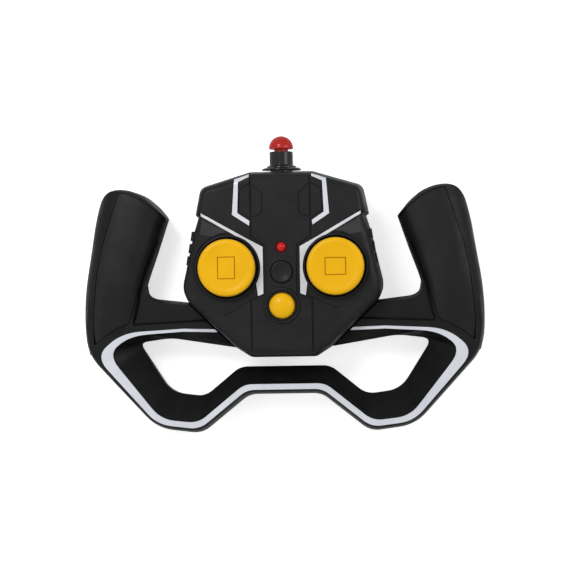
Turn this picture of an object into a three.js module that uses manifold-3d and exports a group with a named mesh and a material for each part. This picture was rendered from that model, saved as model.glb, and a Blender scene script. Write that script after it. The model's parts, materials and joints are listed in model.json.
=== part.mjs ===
// A toy radio transmitter shaped like a racing wheel: two grips and a looped rim carry a control pod with two
// sprung thumb sticks, two push buttons, a lamp and a stub aerial. Millimetres, +Z out of the control face, +Y towards
// the aerial, origin under the middle of the outline on the surface that the transmitter lies on.
import * as THREE from "three";
import { mergeVertices } from "three/addons/utils/BufferGeometryUtils.js";
import Module from "manifold-3d";

const wasm = await Module();
wasm.setup();

// ---- Driving dimensions ------------------------------------------------------------------------------------------

// General
const gap = 0.3; // between fixed pieces that touch
const slip = 0.35; // round a piece that moves
const wall = 2; // moulded shell
const cornerSteps = 2; // segments of a rounded outline corner
const roundSides = 24;
const partingZ = 15; // where the rear and front mouldings meet

// Wheel rim
const halfWidth = 100; // over the grips, each side of the middle
const loopDrop = 74; // lowest point of the rim below the middle
const barHalf = 18; // half length of the straight bar under the window
const barBottom = -55;
const barTall = 13.9;
const footIn = 42; // where each foot of the rim starts
const footOut = 64.5;
const cheekY = -35; // outer corner between the foot slope and the grip
const spokeTop = -8;
const rimFront = 27; // height of the ridge that carries the stripe
const rimRear = 3;
const ridgeIn = 2.9; // from the outer edge to the stripe
const stripeWide = 2.9;
const stripeThick = 1.2;
const stripeLand = 0.15; // flat left between the stripe and the slope
const cheekWide = 26.7; // from the outer edge to the window's far corner

// Grips
const gripTop = 48.2;
const gripFront = 31;
const gripRear = 1;
const gripRoundness = 0.72; // exponent of the grip's section: 1 is an ellipse, 0 a box
const panelThick = 2.6;

// Control pod
const podHalf = 50.2;
const podTop = 55.9;
const podBottom = -36.6;
const podFront = 40.5;
const spineHalf = 13.9; // the spine down the middle of the face, between its grooves
const lowerSpineHalf = 14.3;
const grooveWide = 1.1;
const waistGroove = 1.9; // wider beside the sticks
const grooveDeep = 1.2;
const waistTrim = 1.3; // the flank trim where the well leaves it narrowest
const coverCeiling = 36.2; // underside of the pod's face
const trimThick = 0.8;

// Thumb sticks
const stickX = 26.3;
const stickY = 8.3;
const capRadius = 13.9;
const capTop = 49.5;
const capThick = 6;
const wellGap = 1.2; // round a cap, for its tilt
const wellRim = 41.2;
const wellFloor = 38;
const wellWall = 0.6;
const pivotZ = 34;
const axleRadius = 1.2;
const postRadius = 3;
const armReach = 9.5; // from the axle to each end of the rocker arm

// Buttons, lamp
const fireY = -10.5;
const fireRadius = 6.2;
const powerY = 5.9;
const powerRadius = 5.3;
const lampY = 18;
const lampRadius = 2.5;
const buttonFlange = 1.2; // how far the hidden flange stands out round a button

// Circuit board
const boardLift = 1.8; // above the battery bay
const boardThick = 1.6;
const boardInset = 6;

// Batteries: two AA cells side by side
const cellRadius = 7.1;
const cellLength = 49.2;
const cellSpace = 1; // between the two cells
const cellLift = 2.4; // underside of the cells above the door's outer face
const bayY = 5;
const bayWall = 1.6;
const bayEnd = 3.6; // room for a contact at each end of a cell
const doorThick = 1.8;
const doorLip = 2.6; // how far the door overlaps the bay's walls
const hingeRadius = 1.3;
const hingePin = 0.7;
const hingeGrip = 1.6; // how far each pin reaches into its socket
const doorBossTop = 3.4;

// Aerial
const aerialZ = 20;
const aerialTop = 73.2;
const collarRadius = 5.8;
const collarTop = 65.4;
const flangeRadius = 9.7;
const neckRadius = 5.6;

// Screws
const screwShank = 1.3;
const screwHead = 2.8;
const headSeat = 8; // height of the step under each head
const bossWall = 1.1; // of a boss round a screw's head
const screwTop = 22.5;
const screwPlaces = [
  [podHalf - 17.2, podTop - 17.4],
  [19, podBottom + 11.1],
  [halfWidth - 22, gripTop - 15.2],
  [halfWidth - 17, -20],
  [footIn + 10, -loopDrop + 9],
];

// Sizes that follow from the ones above
const wellRadius = capRadius + wellGap;
const flankX = stickX - wellRadius - wellWall - gap - waistTrim; // inner edge of the flank trims
const waistHalf = flankX - waistGroove;
const bossRadius = screwHead + bossWall;
const cellZ = cellLift + cellRadius;
const cellPitch = 2 * cellRadius + cellSpace;
const bayHalfX = cellLength / 2 + bayEnd;
const bayHalfY = cellPitch / 2 + cellRadius + 0.5;
const bayTop = cellZ + cellRadius + 0.6;
const boardZ = bayTop + bayWall + boardLift;
const boardTop = boardZ + boardThick;
const doorHalfX = bayHalfX + doorLip;
const doorTopY = bayY + bayHalfY + doorLip;
const doorBottomY = bayY - bayHalfY - 8.5;
const doorBoss = screwHead + 1.2; // thickening of the door round its screw
const hingeY = doorTopY - hingeRadius;
const hingeZ = gap + hingeRadius;
const doorScrewY = doorBottomY + 4.2;
const hingeEars = [-1, 1].map((side) => side * (doorHalfX - 6));
const aerialSeatY = podTop - wall - 0.8; // inner side of the wall that the aerial's flanges clamp
const windowFloor = -loopDrop + 18.2;

// ---- Helpers -----------------------------------------------------------------------------------------------------

const v2 = ([x, y]) => new THREE.Vector2(x, y);

// A closed geometry as a solid that can be joined and cut.
function solidOf(geometry) {
  const loose = geometry.index ? geometry.toNonIndexed() : geometry;
  const bare = new THREE.BufferGeometry().setAttribute("position", loose.getAttribute("position"));
  const merged = mergeVertices(bare, 1e-4);
  const vertProperties = merged.attributes.position.array;
  const triVerts = new Uint32Array(merged.index.array);
  return new wasm.Manifold(new wasm.Mesh({ numProp: 3, vertProperties, triVerts }));
}

function geometryOf(solid) {
  const mesh = solid.getMesh();
  const geometry = new THREE.BufferGeometry();
  geometry.setAttribute("position", new THREE.BufferAttribute(mesh.vertProperties, 3));
  geometry.setIndex(new THREE.BufferAttribute(mesh.triVerts, 1));
  return geometry;
}

const join = (solids) => solids.reduce((all, one) => all.add(one));
const cutAll = (solid, tools) => tools.reduce((left, tool) => left.subtract(tool), solid);

// Mirrors the right half of an outline, listed anticlockwise from the bottom middle, onto the left.
function bothSides(half) {
  const left = half.filter(([x]) => x > 0).map(([x, y, cut]) => [-x, y, cut]);
  return [...half, ...left.reverse()];
}

// Moves every edge of an anticlockwise outline inwards by d, or outwards where d is negative.
function inset(corners, d) {
  return corners.map(([x, y, cut], i) => {
    const before = v2(corners.at(i - 1));
    const after = v2(corners[(i + 1) % corners.length]);
    const a = new THREE.Vector2(x, y).sub(before).normalize();
    const b = after.sub(new THREE.Vector2(x, y)).normalize();
    const k = d / (1 + a.dot(b));
    return [x - k * (a.y + b.y), y + k * (a.x + b.x), cut];
  });
}

// The points of an outline whose corners are [x, y, cut]: a corner with a cut is rounded off over that distance.
function loop(corners) {
  return corners.flatMap(([x, y, cut], i) => {
    const here = new THREE.Vector2(x, y);
    if (!cut) return [here];
    const ends = [corners.at(i - 1), corners[(i + 1) % corners.length]].map((other) => {
      const far = v2(other);
      return here.clone().lerp(far, Math.min(0.45, cut / here.distanceTo(far)));
    });
    return new THREE.QuadraticBezierCurve(ends[0], here, ends[1]).getPoints(cornerSteps);
  });
}

// A closed solid through rings of equal length, stacked along +Z.
function loft(rings) {
  const at = [];
  const face = (...points) => points.forEach((p) => at.push(p.x, p.y, p.z));
  rings.slice(1).forEach((upper, k) => {
    const lower = rings[k];
    lower.forEach((p, i) => {
      const j = (i + 1) % lower.length;
      face(p, lower[j], upper[j]);
      face(p, upper[j], upper[i]);
    });
  });
  const [bottom, top] = [rings[0], rings.at(-1)];
  const faces = (ring) => THREE.ShapeUtils.triangulateShape(ring.map((p) => new THREE.Vector2(p.x, p.y)), []);
  faces(bottom).forEach(([a, b, c]) => face(bottom[c], bottom[b], bottom[a]));
  faces(top).forEach(([a, b, c]) => face(top[a], top[b], top[c]));
  const geometry = new THREE.BufferGeometry();
  geometry.setAttribute("position", new THREE.Float32BufferAttribute(at, 3));
  return geometry;
}

const level = (corners, z) => loop(corners).map((p) => new THREE.Vector3(p.x, p.y, z));

// A solid whose outline steps in by levels of [z, inset].
const tapered = (corners, levels) => solidOf(loft(levels.map(([z, d]) => level(inset(corners, d), z))));

function prism(corners, z0, z1) {
  const shape = new THREE.Shape(loop(corners));
  return solidOf(new THREE.ExtrudeGeometry(shape, { depth: z1 - z0, bevelEnabled: false }).translate(0, 0, z0));
}

const rectangle = (x, y, w, h) => [
  [x - w / 2, y - h / 2],
  [x + w / 2, y - h / 2],
  [x + w / 2, y + h / 2],
  [x - w / 2, y + h / 2],
];
const block = (x, y, w, h, z0, z1) => prism(rectangle(x, y, w, h), z0, z1);

// A round solid about Z from a profile of [radius, z].
function turned(profile, x = 0, y = 0, sides = roundSides) {
  const lathe = new THREE.LatheGeometry(profile.map(v2), sides);
  return solidOf(lathe.rotateX(Math.PI / 2).translate(x, y, 0));
}

const disc = (x, y, radius, z0, z1, sides = roundSides) =>
  turned([[0, z0], [radius, z0], [radius, z1], [0, z1]], x, y, sides);

// A round bar between two points.
function bar(from, to, radius, sides = 12) {
  const a = new THREE.Vector3(...from);
  const b = new THREE.Vector3(...to);
  const cylinder = new THREE.CylinderGeometry(radius, radius, a.distanceTo(b), sides);
  const turn = new THREE.Quaternion().setFromUnitVectors(
    new THREE.Vector3(0, 1, 0),
    b.clone().sub(a).normalize(),
  );
  cylinder.applyQuaternion(turn).translate(...a.add(b).multiplyScalar(0.5).toArray());
  return solidOf(cylinder);
}

// A wire of round section along a curve.
function wire(curve, radius, steps, sides = 8) {
  const section = new THREE.Shape(new THREE.EllipseCurve(0, 0, radius, radius).getPoints(sides).slice(0, sides));
  return solidOf(new THREE.ExtrudeGeometry(section, { steps, extrudePath: curve, bevelEnabled: false }));
}

// ---- Finishes ----------------------------------------------------------------------------------------------------

const finish = (color, roughness, metalness = 0) => new THREE.MeshStandardMaterial({ color, roughness, metalness });
const shellBlack = finish(0x232324, 0.55);
const grainBlack = finish(0x1b1b1c, 0.6);
const glossBlack = finish(0x151515, 0.25);
const silver = finish(0xc3c7d2, 0.35, 0.3);
const yellow = finish(0xf2b612, 0.4);
const red = finish(0xb5241c, 0.2);
const steel = finish(0xa8abb0, 0.35, 1);
const boardGreen = finish(0x1f6b3a, 0.6);
const nylon = finish(0xd8d4c8, 0.5);
const silicone = finish(0xb9bcc0, 0.7);
const cellSleeve = finish(0x3f6fae, 0.4);
const copper = finish(0xb5763a, 0.4, 1);
const chipBlack = finish(0x101012, 0.5);

const transmitter = new THREE.Group();

function piece(name, solid, material) {
  const mesh = new THREE.Mesh(geometryOf(solid), material);
  mesh.name = name;
  transmitter.add(mesh);
}

// ---- Outlines ----------------------------------------------------------------------------------------------------

const rimOutline = bothSides([
  [barHalf, barBottom, 4],
  [footIn, -loopDrop - 0.45, 5],
  [footOut, -loopDrop + 2.6, 8],
  [halfWidth - 2.2, cheekY, 7],
  [halfWidth - 0.1, cheekY + 14, 5],
  [halfWidth - 2.2, 2],
  [halfWidth - 31.5, 2],
  [halfWidth - 32.6, spokeTop + 1.6, 6],
  [podHalf - 2, spokeTop - 0.6],
]);

const windowOutline = bothSides([
  [barHalf + 4.6, barBottom + barTall, 4],
  [footIn - 1.6, windowFloor, 5],
  [footOut - 7.2, windowFloor + 2.2, 7],
  [halfWidth - cheekWide, -28.5, 5],
  [halfWidth - cheekWide - 17, -26.3, 5],
  [24, -31.6],
  [16, -33],
]);

const ridgeOutline = bothSides([
  [barHalf + 2, barBottom + ridgeIn + stripeWide, 4],
  [footIn + 1.2, -loopDrop + 6, 5],
  [footOut - 3, -loopDrop + 8, 7],
  [halfWidth - 12.8, cheekY + 1.5, 9],
  [halfWidth - 24, -24.6, 9],
  [halfWidth - 50, -23],
  [16, -24],
]);

const stripeOutline = bothSides([
  [barHalf + 0.7, barBottom + ridgeIn, 4],
  [footIn + 0.5, -loopDrop + 2.8, 5],
  [footOut - 1.2, -loopDrop + 5.4, 7],
  [halfWidth - 6.4, cheekY + 0.6, 9],
  [halfWidth - 20, -23, 9],
  [halfWidth - 50, -21.4],
  [16, -22.4],
]);

const podOutline = bothSides([
  [16, podBottom, 1.5],
  [24, podBottom + 5.2],
  [podHalf - 2.7, -8.6, 3],
  [podHalf, -1.5, 4],
  [podHalf - 3.6, 14],
  [podHalf - 6, 25],
  [podHalf - 8.5, 33],
  [podHalf - 7.1, 34.2],
  [podHalf - 9.9, 48.4, 3],
  [spineHalf + 1.4, podTop],
]);

// The groove on the right of the spine, from the foot of the pod up to its shoulder.
const grooveOutline = [
  [lowerSpineHalf, podBottom - 2],
  [lowerSpineHalf + grooveWide, podBottom - 2],
  [lowerSpineHalf + grooveWide, -7.2],
  [flankX, -4.3],
  [flankX, 18.6],
  [spineHalf + grooveWide, 22.9],
  [spineHalf + grooveWide, podTop + 2],
  [spineHalf, podTop + 2],
  [spineHalf, 23.4],
  [waistHalf, 18.9],
  [waistHalf, -5.2],
  [lowerSpineHalf, -8.3],
];

// ---- Grips: sections [y, inner x, outer x, rear z, front z], measured in from the half width ----------------------

const gripSections = [
  [-34, 22, 2.6, 6, 26.4],
  [-26, 25, 0.8, 3, 27],
  [-14, 29, 0.5, 1.5, 29.5],
  [0, 31.6, 1.6, gripRear, gripFront],
  [16, 37.2, 4.2, gripRear, gripFront],
  [gripTop - 14.6, 43.2, 7.2, gripRear + 0.3, gripFront - 0.3],
  [gripTop + 1, 48.8, 11.4, gripRear + 0.8, gripFront - 0.8],
];
const sectionPoints = 18;

// The sections run on past the end of the grip, which this outline rounds off.
const gripEnd = [
  [30, -45],
  [120, -45],
  [120, 30],
  [halfWidth - 6.7, 30],
  [halfWidth - 8.2, 36.5],
  [halfWidth - 9.8, gripTop - 6, 2],
  [halfWidth - 13.8, gripTop - 1.3, 2],
  [halfWidth - 18.8, gripTop, 2],
  [halfWidth - 25, gripTop - 0.8],
  [halfWidth - 31.3, gripTop - 3.4],
  [halfWidth - 37.5, gripTop - 8.6],
  [halfWidth - 43.2, gripTop - 15.8, 1],
];

// One grip as a solid that is smaller than the real one by shrink all over, dropped by lower on its front.
function gripSolid(side, shrink, lower = 0) {
  const rings = gripSections.map(([y, inner, outer, rear, front]) => {
    const xMid = halfWidth - (inner + outer) / 2;
    const xHalf = (inner - outer) / 2 - shrink;
    const zLow = rear + shrink;
    const zHigh = front - shrink - lower;
    return Array.from({ length: sectionPoints }, (_, i) => {
      const t = (2 * Math.PI * i) / sectionPoints;
      const [c, s] = [Math.cos(t), Math.sin(t)];
      const across = Math.sign(c) * Math.abs(c) ** gripRoundness * Math.max(xHalf, 0.4);
      const up = Math.sign(s) * Math.abs(s) ** gripRoundness * (zHigh - zLow) / 2;
      return new THREE.Vector3(xMid + across, (zLow + zHigh) / 2 + up, -y);
    });
  });
  const tube = solidOf(loft(rings.reverse()).rotateX(Math.PI / 2));
  const end = tapered(inset(gripEnd, shrink), [
    [-2, 3],
    [gripRear + 2, 1.3],
    [gripRear + 5, 0],
    [gripFront - 6 - lower, 0],
    [gripFront - 2.4 - lower, 0.6],
    [gripFront - 1 - lower, 1.4],
    [gripFront + 5, 1.8],
  ]);
  const right = tube.intersect(end);
  return side > 0 ? right : right.mirror([1, 0, 0]);
}

const grips = (shrink, lower) => gripSolid(1, shrink, lower).add(gripSolid(-1, shrink, lower));

const everywhere = 3 * halfWidth;
const above = (z) => block(0, 0, everywhere, everywhere, z, 100);
const below = (z) => block(0, 0, everywhere, everywhere, -10, z);

// ---- Shells --------------------------------------------------------------------------------------------------------

// What the window takes out of the front: a wide slope from the ridge down to the window's edge.
function windowFront(grow) {
  const edge = inset(windowOutline, -grow);
  const ridge = inset(ridgeOutline, -grow);
  return solidOf(loft([level(edge, 0), level(edge, partingZ + 1), level(ridge, rimFront + 0.1), level(ridge, 40)]));
}

const mirrored = (places) => places.flatMap(([x, y]) => [[x, y], [-x, y]]);
const screws = mirrored(screwPlaces);
const isPodScrew = ([x]) => Math.abs(x) < podHalf - 5;

// A panel let into the front of each grip.
function panelPrism(side, grow) {
  const right = inset(
    [
      [halfWidth - 23.2, -18.6, 1.5],
      [halfWidth - 17.7, -20.4],
      [halfWidth - 11.6, -24.2],
      [halfWidth - 6.1, -28.6, 1.5],
      [halfWidth - 5.9, -17],
      [halfWidth - 8.4, 6.5],
      [halfWidth - 11.1, 19.5],
      [halfWidth - 15.8, 34],
      [halfWidth - 19.8, gripTop - 2.1, 1.5],
      [halfWidth - 25, gripTop - 3.1],
      [halfWidth - 31.6, gripTop - 6.6],
      [halfWidth - 37.8, gripTop - 11.2],
      [halfWidth - 42, gripTop - 16.1, 1],
      [halfWidth - 38.1, 23.6],
      [halfWidth - 32.7, 11],
      [halfWidth - 27.9, -3.8],
    ],
    -grow,
  );
  const corners = side > 0 ? right : right.map(([x, y, cut]) => [-x, y, cut]).reverse();
  return prism(corners, partingZ + 4, 60);
}

function stripeBand(grow) {
  const outer = prism(inset(stripeOutline, -grow), rimFront - stripeThick - grow, rimFront + 2);
  const inner = prism(inset(ridgeOutline, -stripeLand + grow), 0, 60);
  return outer.subtract(inner);
}

const podKeepOut = prism(inset(podOutline, -gap), partingZ - 5, 80);

function wheelFront() {
  const rim = tapered(rimOutline, [[partingZ, 0], [22, 0.8], [25.4, 1.5], [rimFront, ridgeIn - 0.4]]);
  const body = rim.add(grips(0).intersect(above(partingZ)));
  const hollowRim = tapered(inset(rimOutline, wall), [[partingZ - 1, 0], [22, 0.8], [rimFront - wall - 1.4, 1.5]]);
  const hollow = hollowRim.subtract(windowFront(wall)).add(grips(wall, panelThick + gap).intersect(above(partingZ - 1)));
  const bosses = screws
    .filter((place) => !isPodScrew(place))
    .map(([x, y]) => disc(x, y, bossRadius - 0.6, partingZ, rimFront + 3, 12).intersect(body));
  const pilots = screws.map(([x, y]) => disc(x, y, screwShank + gap, partingZ - 1, screwTop + 0.5, 10));
  const shell = join([body.subtract(hollow), ...bosses]).subtract(windowFront(0));
  const rebates = [-1, 1].map((side) => panelPrism(side, gap).subtract(grips(0, panelThick + gap)));
  return cutAll(shell, [...pilots, ...rebates, stripeBand(gap), podKeepOut]);
}

function gripPanel(side) {
  const skin = gripSolid(side, 0).subtract(gripSolid(side, 0, panelThick));
  return panelPrism(side, 0).intersect(skin);
}

const wheelStripe = () => stripeBand(0).intersect(below(rimFront + 0.15)).subtract(podKeepOut);

const knuckleWide = 9;

// A bar along the door's hinge, reaching half to each side of x.
const hingeBar = (x, half, radius) => bar([x - half, hingeY, hingeZ], [x + half, hingeY, hingeZ], radius, 14);

// The door's outline, and the rebate for it, which is larger by grow. The corners at the hinge stay square, so that
// the door can swing.
const doorPrism = (grow, z0, z1) => {
  const corners = [
    [-doorHalfX, doorBottomY, 2],
    [doorHalfX, doorBottomY, 2],
    [doorHalfX, doorTopY],
    [-doorHalfX, doorTopY],
  ];
  return prism(inset(corners, -grow), z0, z1);
};

function rearShell() {
  const rim = tapered(rimOutline, [[rimRear, 4.4], [rimRear + 1.4, 2.4], [rimRear + 5, 0.8], [partingZ - gap, 0]]);
  const pod = tapered(podOutline, [[0, 3.6], [1.2, 2.2], [5, 1.1], [partingZ - gap, 0]]);
  const hole = tapered(windowOutline, [[-1, -1.6], [rimRear, -1.6], [rimRear + 3, -0.5], [partingZ + 1, 0]]);
  const body = join([rim, grips(0).intersect(below(partingZ - gap))]).subtract(hole).add(pod);
  const rimHollow = tapered(inset(rimOutline, wall), [[rimRear + wall, 3.4], [rimRear + 5, 0.8], [partingZ + 1, 0]]);
  const holeWall = tapered(inset(windowOutline, -wall), [[-1, -1.6], [rimRear + 3, -0.5], [partingZ + 2, 0]]);
  const podHollow = tapered(inset(podOutline, wall), [[wall, 2.4], [5, 1.1], [partingZ + 1, 0]]);
  const hollow = join([rimHollow.subtract(holeWall), grips(wall).intersect(below(partingZ + 1)), podHollow]);
  const bay = block(0, bayY, 2 * (bayHalfX + bayWall), 2 * (bayHalfY + bayWall), 0, bayTop + bayWall);
  const doorSeat = block(0, doorScrewY, 11, 10, 0, 8.5);
  const ledge = doorPrism(1.6, 0, doorThick + gap + 1.5);
  const posts = mirrored([[bayHalfX - 4, bayY + 12], [bayHalfX - 4, bayY - 12]]).map(([x, y]) =>
    disc(x, y, 2.2, bayTop, boardZ - gap, 12),
  );
  const bosses = screws.map(([x, y]) => disc(x, y, bossRadius, 0, partingZ - gap, 12).intersect(body));
  const shell = join([body.subtract(hollow), ledge.intersect(body), bay, doorSeat, ...posts, ...bosses]);
  const drills = screws.flatMap(([x, y]) => [
    disc(x, y, screwHead + gap + 0.2, -1, headSeat, 12),
    disc(x, y, screwShank + gap, -1, partingZ + 1, 10),
  ]);
  const bayRoom = block(0, bayY, 2 * bayHalfX, 2 * bayHalfY, -1, bayTop);
  const leadHoles = [1, -1].map((end) => leadHole(end));
  const doorDrill = disc(0, doorScrewY, screwShank + 1, -1, 7, 12);
  const doorPocket = disc(0, doorScrewY, doorBoss + gap, -1, doorBossTop + gap, 16);
  const knuckles = hingeEars.map((x) => block(x, hingeY + 0.6, knuckleWide, 2 * hingeRadius + 2.4, -1, doorThick + 2.4));
  const sockets = hingeEars.map((x) => hingeBar(x, knuckleWide / 2 + hingeGrip + gap, hingePin + gap));
  return cutAll(shell, [
    ...drills,
    bayRoom,
    doorPrism(gap, -1, doorThick + gap),
    doorDrill,
    doorPocket,
    ...knuckles,
    ...sockets,
    ...leadHoles,
    aerialSeat(),
  ]);
}

// ---- Control pod ---------------------------------------------------------------------------------------------------

const sticks = [
  { name: "left_stick", x: -stickX, axis: [1, 0] },
  { name: "right_stick", x: stickX, axis: [0, 1] },
];

// The silver trims let into the pod's face, right-hand side: one round each shoulder, one down each flank to the waist.
const shoulderTrim = [
  [spineHalf + 1.3, 52.3],
  [spineHalf + 6.5, 49.9],
  [spineHalf + 7.1, 34.8],
  [spineHalf + 1.3, 30.9],
  [spineHalf + 1.5, 28.6],
  [spineHalf + 9.7, 34],
  [spineHalf + 8.4, 51.3],
  [spineHalf + 1.3, 53.6],
];
const flankTrim = [
  [flankX, -4.6],
  [flankX + 2.6, -5.6],
  [flankX + 4.5, stickY],
  [flankX + 9, 21.4],
  [39, 33.7],
  [38.9, 35.1],
  [flankX + 7, 22],
  [flankX, 18.2],
];
const podTrims = [
  ["shoulder_trim", shoulderTrim],
  ["flank_trim", flankTrim],
];

const mirrorOutline = (corners) => corners.map(([x, y, cut]) => [-x, y, cut]).reverse();
const sided = (corners, side) => (side > 0 ? corners : mirrorOutline(corners));

// Keeps the trims and their rebates out of the walls of the stick wells.
const wellGuard = (grow) => join(sticks.map(({ x }) => disc(x, stickY, wellRadius + wellWall + grow, 0, 60, 32)));

function podSkin(drop) {
  return tapered(podOutline, [
    [partingZ, 0],
    [30 - drop, 0.8],
    [37 - drop, 1.7],
    [podFront - 1 - drop, 2.9],
    [podFront - drop, 4.8],
  ]);
}

// One of the saw-tooth ribs down each side of the pod.
function thumbRib(y, side) {
  const x = podHalf - 1.4 - (y + 1.5) * 0.19;
  return prism(sided([[x - 3, y - 2.2], [x + 0.9, y - 2.2], [x + 0.2, y + 2.4], [x - 3, y + 2.4]], side), 20, 33);
}

function podCover() {
  const towers = sticks.map(({ x }) => disc(x, stickY, wellRadius + wellWall, 30, wellRim, 32));
  const ribs = [1, -1].flatMap((side) => [24, 18, 12].map((y) => thumbRib(y, side)));
  const hollow = tapered(inset(podOutline, wall), [[partingZ - 1, 0], [30, 1], [coverCeiling, 3]]);
  const body = join([podSkin(0), ...towers, ...ribs]);
  const grooves = [1, -1].map((side) => prism(sided(grooveOutline, side), podFront - grooveDeep, 60));
  const bezel = disc(0, fireY, fireRadius + slip + 2, coverCeiling, podFront + 0.7);
  const bosses = screws
    .filter(isPodScrew)
    .map(([x, y]) => disc(x, y, bossRadius - 0.6, partingZ, coverCeiling + 1, 12).intersect(body));
  const shell = join([cutAll(body.subtract(hollow), grooves), bezel, ...bosses]);
  const wells = sticks.flatMap(({ x }) => [
    disc(x, stickY, wellRadius, wellFloor, 60, 32),
    disc(x, stickY, 2.2 * postRadius, 30, 60),
  ]);
  const pilots = screws.filter(isPodScrew).map(([x, y]) => disc(x, y, screwShank + gap, partingZ - 1, screwTop + 0.5, 10));
  const holes = [
    disc(0, fireY, fireRadius + slip, 30, 60),
    disc(0, powerY, powerRadius + slip, 30, 60),
    disc(0, lampY, lampRadius + gap, 30, 60, 16),
  ];
  const rebate = (outline, side) =>
    prism(sided(inset(outline, -gap), side), 25, 60).subtract(podSkin(trimThick + gap)).subtract(wellGuard(0));
  const rebates = podTrims.flatMap(([, outline]) => [rebate(outline, 1), rebate(outline, -1)]);
  return cutAll(shell, [...wells, ...pilots, ...holes, ...rebates, aerialSeat()]);
}

function podTrim(outline, side) {
  const skin = podSkin(0).subtract(podSkin(trimThick));
  return prism(sided(outline, side), 25, 60).intersect(skin).subtract(wellGuard(gap));
}

// ---- Sticks --------------------------------------------------------------------------------------------------------

function stickCap({ x, axis }) {
  const base = capTop - capThick;
  const body = turned(
    [
      [0, base + 3.4],
      [postRadius + gap, base + 3.4],
      [postRadius + gap, base],
      [capRadius - 1, base],
      [capRadius, base + 1],
      [capRadius, capTop - 1.2],
      [capRadius - 0.7, capTop - 0.3],
      [capRadius - 2.2, capTop],
      [capRadius - 5.4, capTop - 0.7],
      [0, capTop - 0.8],
    ],
    x,
    stickY,
    32,
  );
  const [wide, high] = axis[0] ? [7.9, 10.2] : [10.2, 7.9];
  return body.add(block(x, stickY, wide, high, capTop - 2, capTop - 0.2));
}

function stickPost({ x, axis }) {
  const along = (a, b) => (axis[0] ? [a, b] : [b, a]);
  const post = turned(
    [
      [0, pivotZ],
      [postRadius, pivotZ],
      [postRadius, wellFloor + 2],
      [2.5 * postRadius, wellFloor + 2],
      [2.3 * postRadius, wellFloor + 3.2],
      [postRadius, wellFloor + 3.6],
      [postRadius, capTop - capThick + 3.1],
      [0, capTop - capThick + 3.1],
    ],
    x,
    stickY,
  );
  const hub = block(x, stickY, ...along(9.4, 6), pivotZ - 6, pivotZ + 1.8);
  const arms = block(x, stickY, ...along(5.6, 2 * armReach + 3), pivotZ - 6.5, pivotZ - 4.5);
  const bore = axleBar({ x, axis }, 12, axleRadius + gap);
  return join([post, hub, arms]).subtract(bore);
}

function axleBar({ x, axis }, half, radius) {
  const [ax, ay] = axis.map((a) => a * half);
  return bar([x - ax, stickY - ay, pivotZ], [x + ax, stickY + ay, pivotZ], radius);
}

function stickBracket({ x, axis }) {
  const along = (a, b) => (axis[0] ? [a, b] : [b, a]);
  const base = block(x, stickY, ...along(16, 10), boardTop + gap, boardTop + gap + 1.4);
  const ears = [-1, 1].map((side) => {
    const [dx, dy] = axis.map((a) => a * side * 6.6);
    return block(x + dx, stickY + dy, ...along(2.4, 6), boardTop + gap, coverCeiling - gap);
  });
  return join([base, ...ears]).subtract(axleBar({ x, axis }, 12, axleRadius + gap));
}

const domePlaces = sticks.flatMap(({ name, x, axis }) =>
  [-1, 1].map((side) => ({
    name: name + (side < 0 ? "_dome_1" : "_dome_2"),
    x: x + axis[1] * side * armReach,
    y: stickY + axis[0] * side * armReach,
  })),
);

// A silicone dome that returns a key and closes its contact, standing on the board.
const dome = (x, y, top) =>
  turned(
    [
      [0, boardTop + gap],
      [3, boardTop + gap],
      [3, boardTop + 1.2],
      [1.7, top - 1.2],
      [1.7, top],
      [0, top],
    ],
    x,
    y,
    16,
  );

// ---- Buttons, lamp, aerial ------------------------------------------------------------------------------------------

const stemFoot = 28; // lowest point of each button's stem

// A push button: stem, hidden flange that stops it under the pod's face, and a crown of [radius, z] points.
function button(y, radius, crown) {
  return turned(
    [
      [0, stemFoot],
      [2.2, stemFoot],
      [2.2, coverCeiling - 2.6],
      [radius + buttonFlange, coverCeiling - 2.6],
      [radius + buttonFlange, coverCeiling - gap],
      [radius, coverCeiling - gap],
      ...crown,
    ],
    0,
    y,
    24,
  );
}

const fireButton = () =>
  button(fireY, fireRadius, [
    [fireRadius, podFront + 1.4],
    [fireRadius - 0.5, podFront + 2.4],
    [fireRadius - 1.8, podFront + 3.3],
    [fireRadius - 3.8, podFront + 3.9],
    [0, podFront + 4.1],
  ]);

const powerButton = () =>
  button(powerY, powerRadius, [
    [powerRadius, podFront + 0.6],
    [powerRadius - 0.7, podFront + 0.9],
    [powerRadius - 2.4, podFront + 0.3],
    [0, podFront],
  ]);

function lamp() {
  const bulb = turned(
    [
      [0, coverCeiling - 1.6],
      [lampRadius + 0.4, coverCeiling - 1.6],
      [lampRadius + 0.4, coverCeiling - gap - 0.2],
      [lampRadius, coverCeiling - gap - 0.2],
      [lampRadius, podFront + 0.2],
      [lampRadius * 0.8, podFront + 1.5],
      [lampRadius * 0.45, podFront + 2.2],
      [0, podFront + 2.4],
    ],
    0,
    lampY,
    20,
  );
  const legs = [-1.27, 1.27].map((x) => block(x, lampY, 0.6, 0.6, boardTop + gap, coverCeiling - 1));
  return join([bulb, ...legs]);
}

// Turned solids of the aerial lie along +Y: profile of [radius, y].
const alongY = (profile, sides = 20) => {
  const lathe = new THREE.LatheGeometry(profile.map(v2), sides);
  return solidOf(lathe.translate(0, 0, aerialZ));
};

function aerialSeat() {
  return alongY([[0, aerialSeatY - 3], [flangeRadius - 1, aerialSeatY - 3], [flangeRadius - 1, aerialSeatY - gap], [neckRadius + gap, aerialSeatY],
    [neckRadius + gap, podTop + 5], [0, podTop + 5]]);
}

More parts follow.
